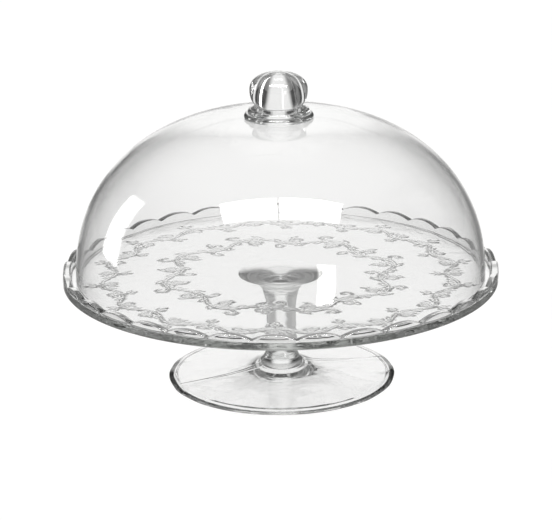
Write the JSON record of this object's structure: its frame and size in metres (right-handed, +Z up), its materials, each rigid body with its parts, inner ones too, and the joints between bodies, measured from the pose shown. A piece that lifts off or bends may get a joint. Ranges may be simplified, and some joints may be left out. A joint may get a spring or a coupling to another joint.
{
  "type": "footed cake stand with dome lid",
  "caption": "Clear glass footed cake plate with a scalloped rim, and a lift-off dome lid with a hollow knob.",
  "frame": {"origin": "middle of the foot, on the surface it stands on", "axes": "+Z up along the axis of the foot, plate and dome; X and Y are free, with a valley of the scalloped rim on +X"},
  "size_m": [0.37, 0.37, 0.268],
  "materials": {
    "plate_glass": "clear pressed glass, polished, fine vine relief on the underside",
    "foot_glass": "clear pressed glass, polished, faint mould seams",
    "dome_glass": "clear thin glass, polished",
    "knob_glass": "clear hollow glass, fire polished"
  },
  "bodies": {
    "stand": {"plate": "plate_glass", "pedestal_foot": "foot_glass"},
    "lid": {"dome_shell": "dome_glass", "knob": "knob_glass"}
  },
  "joints": [
    {"name": "lid_lift", "type": "slide", "parent": "stand", "child": "lid", "axis": [0, 0, 1], "range_m": [0, 0.2]}
  ]
}
